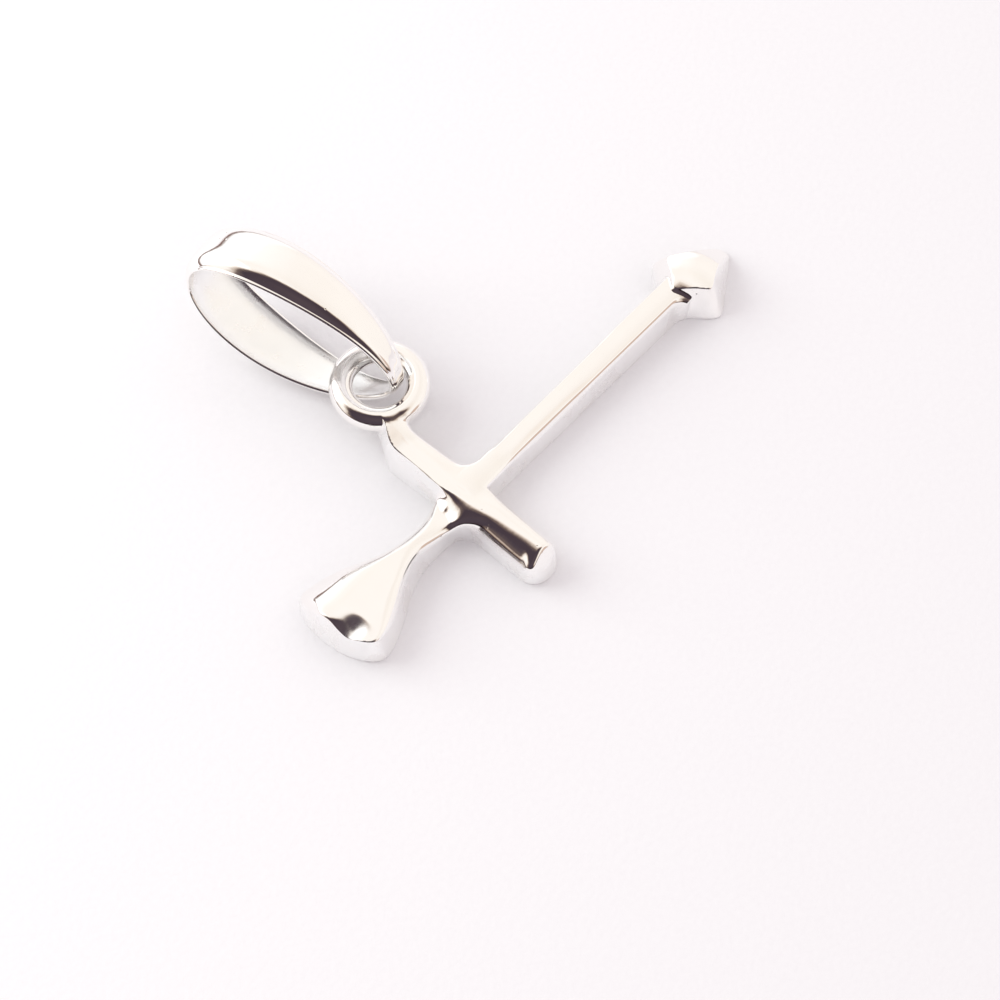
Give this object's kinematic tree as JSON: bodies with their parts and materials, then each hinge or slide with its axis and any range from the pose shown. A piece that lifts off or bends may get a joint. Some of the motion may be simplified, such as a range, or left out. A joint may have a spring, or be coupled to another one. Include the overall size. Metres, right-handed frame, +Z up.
{
  "type": "zodiac pendant",
  "caption": "Polished silver pendant in the form of the archer's sign, an arrow with a flared tail and a crossbar, with a soldered ring and a tapered loop for a chain.",
  "frame": {"origin": "on the surface that the pendant lies on, under the middle of the whole pendant's box", "axes": "+X along the arrow towards its head, +Y along the crossbar towards the ring and the bail, +Z up from the flat back"},
  "size_m": [0.0224, 0.0178, 0.0051],
  "materials": {
    "cast_silver": "mirror-polished sterling silver, cast",
    "sheet_silver": "mirror-polished sterling silver, pressed sheet"
  },
  "bodies": {
    "root": {"glyph": "cast_silver", "bail": "sheet_silver"}
  },
  "joints": []
}
